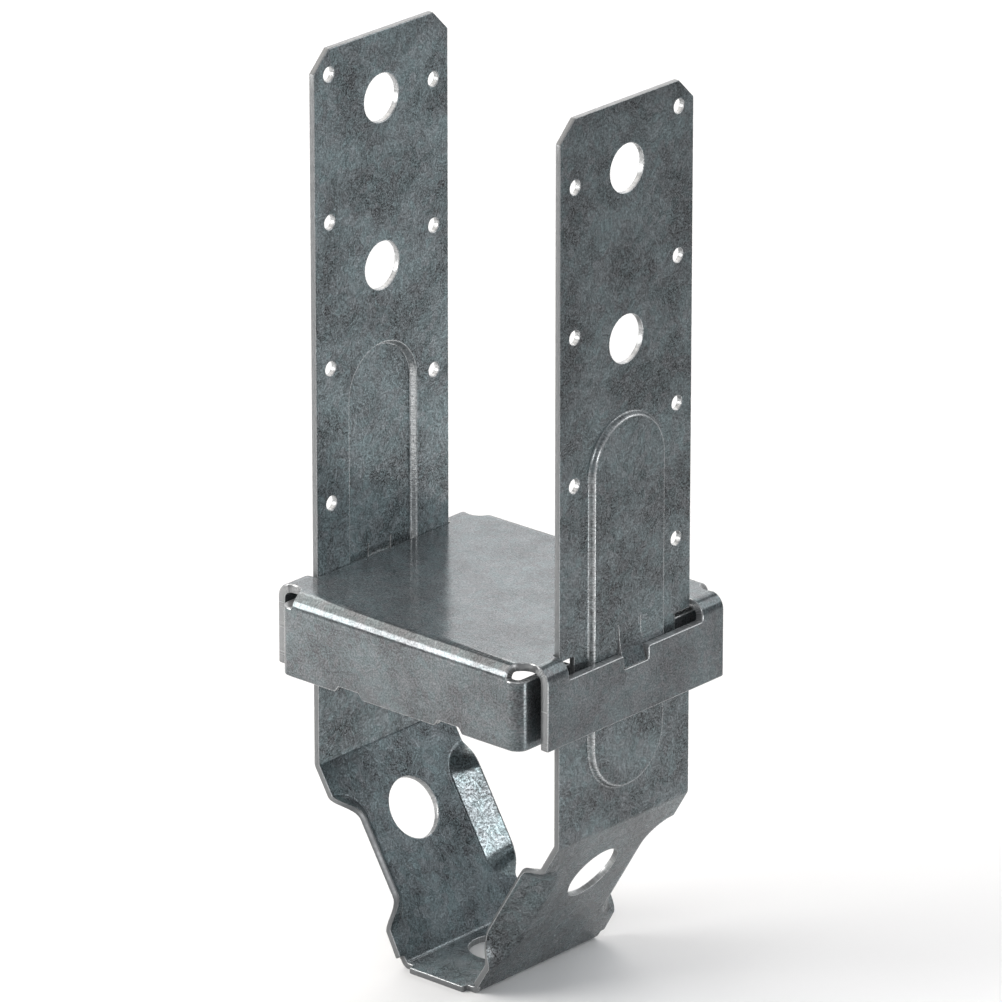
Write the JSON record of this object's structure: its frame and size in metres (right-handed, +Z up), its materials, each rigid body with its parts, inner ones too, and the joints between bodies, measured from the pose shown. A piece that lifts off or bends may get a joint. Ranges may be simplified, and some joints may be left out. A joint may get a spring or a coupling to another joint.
{
  "type": "timber post base",
  "caption": "Raised post base for concrete: a bent steel strap with two tall legs and a folded foot to cast in, carrying a folded plate that holds a timber post clear of the slab.",
  "frame": {"origin": "middle of the strap's flat bottom, on its underside", "axes": "+X towards the right leg, +Y along the strap's width, +Z up the legs towards the post"},
  "size_m": [0.1032, 0.0888, 0.2738],
  "materials": {
    "base_zinc": "satin",
    "strap_zinc": "satin"
  },
  "bodies": {
    "root": {"standoff_base": "base_zinc", "strap": "strap_zinc"}
  },
  "joints": []
}
